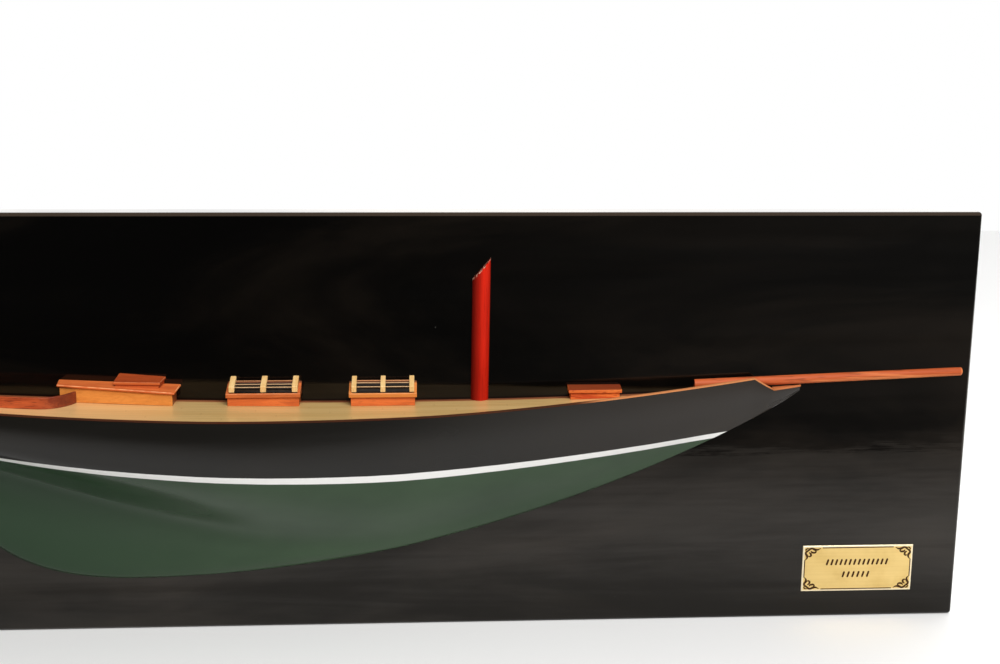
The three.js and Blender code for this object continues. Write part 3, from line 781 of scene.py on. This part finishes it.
def skylight_ribs(skylight):
    """Three ribs across the lid, whose top falls evenly from its back edge to the front."""
    box_low, box_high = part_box(f"{skylight}_box")
    middle = (box_low.x + box_high.x) / 2
    lid_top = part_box(f"{skylight}_lid")[1].z
    rib_low, rib_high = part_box(f"{skylight}_rib_1")
    half = (rib_high.x - rib_low.x) / 2
    reach = board_face - rib_low.y
    fall = (lid_top - (rib_low.z - glue)) / reach
    ends = []
    for out, height in ((0.0, rib["back"]), (reach, rib["front"])):
        foot = lid_top - fall * out
        corners = ((-half, 0), (half, 0), (half, height), (-half, height))
        ends.append([(side, board_face - out, foot + up) for side, up in corners])
    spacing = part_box(f"{skylight}_rib_3")[1].x - half - middle
    return in_a_row("ribs", skin(ends), rib_wood, 3, (middle - spacing, 0, 0), (spacing, 0, 0))


def skylight_rods(nodes):
    """Thin round rods in the places of the given nodes."""
    turn = [2 * math.pi * i / rod["sides"] for i in range(rod["sides"])]
    circle = [(rod["radius"] * math.cos(a), rod["radius"] * math.sin(a)) for a in turn]
    shell = bmesh.new()
    for node in nodes:
        low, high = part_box(node)
        middle = (low + high) / 2
        skin([[(end, middle.y + y, middle.z + z) for y, z in circle] for end in (low.x, high.x)], shell)
    return shell


row_of_copies = row_tree()
lid_wood = wood(
    "skylight_lid_wood", lid_gold, lid_brown, mahogany_pore_and_shade, gloss=0.40, coarse=280, pitted=0.2
)
wear_and_painted_light(lid_wood, 0.6 * forward(lid_wood, lid_golden), lid_golden["colour"])
edge_wear_and_highlight(lid_wood, worn_edge_highlight, 0.45)
end_grain_and_shade(lid_wood, box_end_grain_shade, 0.6)
# Painted shade: the lid's back border is darkened where it meets the board.
wear_and_painted_light(lid_wood, 0.85 * near_board(lid_wood, lid_board_shadow), lid_board_shadow["colour"])
box_wood = wood(
    "skylight_box_wood", box_gold, box_brown, mahogany_pore_and_shade, gloss=0.42, coarse=260, pitted=0.25
)
end_grain_and_shade(box_wood, box_end_grain_shade, 0.6)
rib_wood = wood(
    "rib_wood", rib_pale, rib_warm, rib_pore,
    gloss=0.42, grain=(1, 0.12, 0.3), coarse=320, pitted=0.35,
)
pane_black = Finish("dark_pane", IOR=1.3)
pane_dust = pane_black.noise(240, detail=3)
pane_black.feed(
    Base_Color=pane_black.mix(pane_black.step(pane_dust, 0.4, 0.8), pane_deep, pane_dusty),
    Roughness=0.05 + 0.1 * pane_dust,
    Normal=pane_black.bump(pane_dust, 0.08, 0.0001),
)
rod_brass = Finish("rod_brass", Metallic=0.6)
drawn = rod_brass.noise(500, (0.05, 1, 1), detail=3)
rod_brass.feed(
    Base_Color=rod_brass.mix(drawn, brass_pale, brass_brown),
    Roughness=0.34 + 0.2 * drawn,
    Normal=rod_brass.bump(drawn, 0.15, 0.00005),
)
# The rods are coloured browner close to the board.
wear_and_painted_light(rod_brass, 0.8 * near_board(rod_brass, rod_browner_by_board), rod_browner_by_board["colour"])

for skylight in ("skylight_1", "skylight_2"):
    sides = seated(merged(f"{skylight}_box", box_flatten))
    finished(f"{skylight}_sides", sides, box_wood, [f"{skylight}_box"], edge=box_edge)
    cover = merged(f"{skylight}_lid", lid_flatten)
    finished(f"{skylight}_cover", cover, lid_wood, [f"{skylight}_lid"], edge=lid_edge)
    pane = seated(merged(f"{skylight}_pane", lid_flatten))
    pane_nodes = [f"{skylight}_pane"]
    finished(f"{skylight}_glass", pane, pane_black, pane_nodes, edge=pane_edge)
    ribs = skylight_ribs(skylight)
    rib_nodes = [f"{skylight}_rib_{k}" for k in (1, 2, 3)]
    finished(f"{skylight}_ribs", ribs, rib_wood, rib_nodes, edge=rib["edge"])
    rod_nodes = [f"{skylight}_rod_{k}" for k in (1, 2, 3)]
    rods = skylight_rods(rod_nodes)
    finished(f"{skylight}_rods", rods, rod_brass, rod_nodes, sharp=50)


# The fore hatch
# A shallow mahogany box near the bow with a thick lid, both of one red and gold wood. The lid's
# top is browner than its edges.

fore_gold = (0.86, 0.230, 0.050, 1)
fore_red = (0.50, 0.060, 0.016, 1)
fore_top_brown = (0.155, 0.018, 0.005, 1)

fore_wood = wood(
    "fore_hatch_lid", fore_gold, fore_red, stain_pore,
    gloss=0.4, grain=(0.12, 1, 1), coarse=230, coat=0.0, ior=1.18,
)
_, _, up = fore_wood.facing()
wear_and_painted_light(fore_wood, 0.85 * fore_wood.step(up, 0.75, 0.92), fore_top_brown)
sides = seated(merged("fore_hatch_box", box_flatten))
finished("fore_hatch_sides", sides, fore_wood, ["fore_hatch_box"], edge=box_edge)
cover = merged("fore_hatch_lid", box_flatten)
finished("fore_hatch_cover", cover, fore_wood, ["fore_hatch_lid"], edge=lid_edge)


# The plate
# A small sheet of brushed brass glued to the board, with a painted highlight along its rim. A fine
# border, scrolls in its corners and two rows of short strokes are etched into it and filled with
# dark lacquer.

plate_edge = 0.00012
plate_pale = (0.90, 0.66, 0.27, 1)
plate_tarnish = (0.68, 0.46, 0.15, 1)
rim = {"colour": (1.0, 0.90, 0.68, 1), "bright": 0.0009, "end": 0.0013}
lacquer_rise = 0.00003
fill_brown = (0.040, 0.014, 0.003, 1)
fill_worn = (0.085, 0.034, 0.009, 1)
border = {"inset": 0.00145, "width": 0.00066, "along": 0.0112, "up": 0.0080}
scroll = {"along": 0.0100, "up": 0.0082, "cuts": 5}
stroke = {"width": 0.00130, "height": 0.0041, "lean": 0.0008, "corner": 6}
stroke_rows = (
    {"count": 14, "from": 0.228, "to": 0.765, "down": 0.365},
    {"count": 6, "from": 0.378, "to": 0.600, "down": 0.635},
)
# Half a corner's scroll, as shares of its size along the plate and up, with the stroke's width:
# a long leaf that waves along the border, a hook curled inwards and a short leaf to the corner.
corner_strokes = (
    ((0.17, 0.30, 0.03), (0.26, 0.12, 0.13), (0.44, 0.03, 0.12), (0.60, 0.12, 0.15),
     (0.80, 0.14, 0.11), (1.00, 0.02, 0.03)),
    ((0.36, 0.24, 0.05), (0.46, 0.36, 0.12), (0.62, 0.38, 0.12), (0.70, 0.28, 0.08),
     (0.62, 0.22, 0.03)),
    ((0.02, 0.22, 0.03), (0.05, 0.12, 0.09), (0.14, 0.05, 0.05)),
)


def band(shell, points, widths):
    """A thin flat band of lacquer on the plate along points (x, z), as wide as the widths say."""
    rings = []
    for i, (px, pz) in enumerate(points):
        before = points[max(i - 1, 0)]
        after = points[min(i + 1, len(points) - 1)]
        run = math.hypot(after[0] - before[0], after[1] - before[1])
        side_x = -(after[1] - before[1]) / run * widths[i] / 2
        side_z = (after[0] - before[0]) / run * widths[i] / 2
        rings.append([
            (px + side * side_x, plate_face - lift, pz + side * side_z)
            for side, lift in ((-1, 0), (1, 0), (1, lacquer_rise), (-1, lacquer_rise))
        ])
    skin(rings, shell)


plate_low, plate_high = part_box("nameplate")
plate_face = plate_low.y
plate_width = plate_high.x - plate_low.x
plate_height = plate_high.z - plate_low.z
middle_x = (plate_low.x + plate_high.x) / 2
middle_z = (plate_low.z + plate_high.z) / 2
half_x = plate_width / 2 - border["inset"]
half_z = plate_height / 2 - border["inset"]

brass = Finish("plate_brass", Metallic=1.0)
hairs = brass.noise(700, (0.02, 1, 1), detail=3, roughness=0.6)
tarnish = brass.step(brass.noise(60, detail=3, shift=(3, 3, 8)), 0.4, 0.8)
brass.feed(
    Base_Color=brass.mix(0.5 * hairs + 0.5 * tarnish, plate_pale, plate_tarnish),
    Roughness=0.26 + 0.16 * hairs,
    Normal=brass.bump(hairs, 0.25, 0.00005),
)
x, _, z = brass.axes(brass.place)
from_end = (x - plate_low.x).least(plate_high.x - x)
from_side = (z - plate_low.z).least(plate_high.z - z)
# Painted highlight: the brass is brighter in a narrow band along its rim.
painted_rim_highlight = 1 - brass.step(from_end.least(from_side), rim["bright"], rim["end"])
wear_and_painted_light(brass, 0.75 * painted_rim_highlight, rim["colour"])
sheet = merged("nameplate", 1)
finished("brass_plate", sheet, brass, ["nameplate"], edge=plate_edge, sharp=20)

marks = bmesh.new()
for side in (-1, 1):
    level = [(middle_x + end * (half_x - border["along"]), middle_z + side * half_z) for end in (-1, 1)]
    upright = [(middle_x + side * half_x, middle_z + end * (half_z - border["up"])) for end in (-1, 1)]
    band(marks, level, [border["width"]] * 2)
    band(marks, upright, [border["width"]] * 2)
for side_x in (-1, 1):
    for side_z in (-1, 1):
        for knots in map(np.array, corner_strokes):
            curve = faired(knots[:, None], np.arange(len(knots)), scroll["cuts"])[:, 0]
            widths = [scroll["along"] * w for _, _, w in curve]
            for swapped in (False, True):
                path = []
                for u, v, _ in curve:
                    inwards, down = (v, u) if swapped else (u, v)
                    path.append((
                        middle_x + side_x * (half_x - scroll["along"] * inwards),
                        middle_z + side_z * (half_z - scroll["up"] * down),
                    ))
                band(marks, path, widths)

fill = Finish("plate_lacquer", IOR=1.2)
fill_wear = fill.noise(900, detail=3)
fill.feed(
    Base_Color=fill.mix(fill.step(fill_wear, 0.4, 0.8), fill_brown, fill_worn),
    Roughness=0.45 + 0.2 * fill_wear,
    Normal=fill.bump(fill_wear, 0.1, 0.00003),
)
finished("plate_marks", marks, fill, [])

# A stroke is a short bar with round ends that leans a little.
stroke_round = stroke["width"] / 2
stroke_ring = []
for side in (1, -1):
    for i in range(stroke["corner"] + 1):
        bend = math.pi * i / stroke["corner"]
        stroke_ring.append((
            side * (stroke["lean"] / 2 + stroke_round * math.cos(bend)),
            side * (stroke["height"] / 2 - stroke_round + stroke_round * math.sin(bend)),
        ))
for number, row in enumerate(stroke_rows):
    shape = skin([[(px, -lift, pz) for px, pz in stroke_ring] for lift in (0, lacquer_rise)])
    first_x = plate_low.x + plate_width * row["from"]
    row_z = plate_high.z - plate_height * row["down"]
    pitch = plate_width * (row["to"] - row["from"]) / (row["count"] - 1)
    start = (first_x, plate_face, row_z)
    strokes = in_a_row("strokes", shape, fill, row["count"], start, (pitch, 0, 0))
    finished(f"plate_strokes_{number + 1}", strokes, fill, [])


# The studio
# A pale floor that ends a little in front of the board, painted darker towards that edge as a
# painted fall-off of light, one broad soft light high in front, and a surround that is white behind
# the board and dark in front of it, as in a room with one lit wall.

floor_level = -0.1301
floor_span = {"x": (-1.8, 1.8), "y": (-0.385, 1.7)}
floor_white = (0.94, 0.935, 0.925, 1)
floor_front_shade = (0.36, 0.34, 0.32, 1)
floor_shade_fade = (-0.42, -0.15)
lamp_place = Vector((0.45, -1.30, 1.30))
lamp_aim = Vector((0.05, -0.05, -0.02))
lamp_size = (1.3, 1.0)
lamp_watts = 38
surround_front = 0.022
surround_right = {"glow": 0.14, "low": -0.15, "high": 0.45}
surround_behind = {"glow": 1.75, "low": 0.05, "high": 0.7}
surround_above = {"glow": 0.30, "low": 0.1, "high": 0.9}
surround_seen = 1.0
camera_lens = 50.64
camera_place = (0.10637, -0.84588, 0.23839)
camera_right = Vector((0.99817146, -0.06001475, 0.0072083))
camera_down = Vector((-0.00575549, -0.21307459, -0.97701898))
camera_ahead = Vector((0.06017146, 0.97519098, -0.21303039))

camera_data = bpy.data.cameras.new("camera")
camera_data.sensor_width = 36
camera_data.lens = camera_lens
camera_data.clip_start = 0.01
camera = bpy.data.objects.new("camera", camera_data)
bpy.context.scene.collection.objects.link(camera)
turned = Matrix((camera_right, -camera_down, -camera_ahead)).transposed().to_4x4()
turned.translation = camera_place
camera.matrix_world = turned
bpy.context.scene.camera = camera

floor_shell = bmesh.new()
left_x, right_x = floor_span["x"]
near_y, far_y = floor_span["y"]
corners = [(left_x, near_y), (right_x, near_y), (right_x, far_y), (left_x, far_y)]
floor_shell.faces.new([floor_shell.verts.new((px, py, floor_level)) for px, py in corners])
floor_mesh = bpy.data.meshes.new("floor")
floor_shell.to_mesh(floor_mesh)
floor_shell.free()
floor_paint = Finish("floor_paint", Roughness=0.7)
# Painted fall-off of light: the floor darkens towards its front edge.
_, y, _ = floor_paint.axes(floor_paint.place)
floor_lit_share = floor_paint.step(y, *floor_shade_fade)
floor_paint.feed(Base_Color=floor_paint.mix(floor_lit_share, floor_front_shade, floor_white))
floor_mesh.materials.append(floor_paint.material)
floor = bpy.data.objects.new("floor", floor_mesh)
bpy.context.scene.collection.objects.link(floor)

lamp_data = bpy.data.lights.new("softbox", "AREA")
lamp_data.shape = "RECTANGLE"
lamp_data.size, lamp_data.size_y = lamp_size
lamp_data.energy = lamp_watts
lamp = bpy.data.objects.new("softbox", lamp_data)
bpy.context.scene.collection.objects.link(lamp)
towards = (lamp_aim - lamp_place).to_track_quat("-Z", "Y").to_matrix().to_4x4()
lamp.matrix_world = Matrix.Translation(lamp_place) @ towards

world = bpy.data.worlds.new("surround")
world.use_nodes = True
bpy.context.scene.world = world
room = Graph(world.node_tree)
glow = surround_front
directions = room.axes(room.node("ShaderNodeTexCoord", {}, {}, "Generated"))
for way, wall in zip(directions, (surround_right, surround_behind, surround_above)):
    glow = glow + wall["glow"] * room.step(way, wall["low"], wall["high"])
seen = room.node("ShaderNodeLightPath", {}, {}, "Is Camera Ray")
strength = glow + seen * (surround_seen - glow)
background = world.node_tree.nodes["Background"]
background.inputs["Color"].default_value = (1, 1, 1, 1)
world.node_tree.links.new(strength.socket, background.inputs["Strength"])
bpy.context.scene.view_settings.view_transform = "Standard"
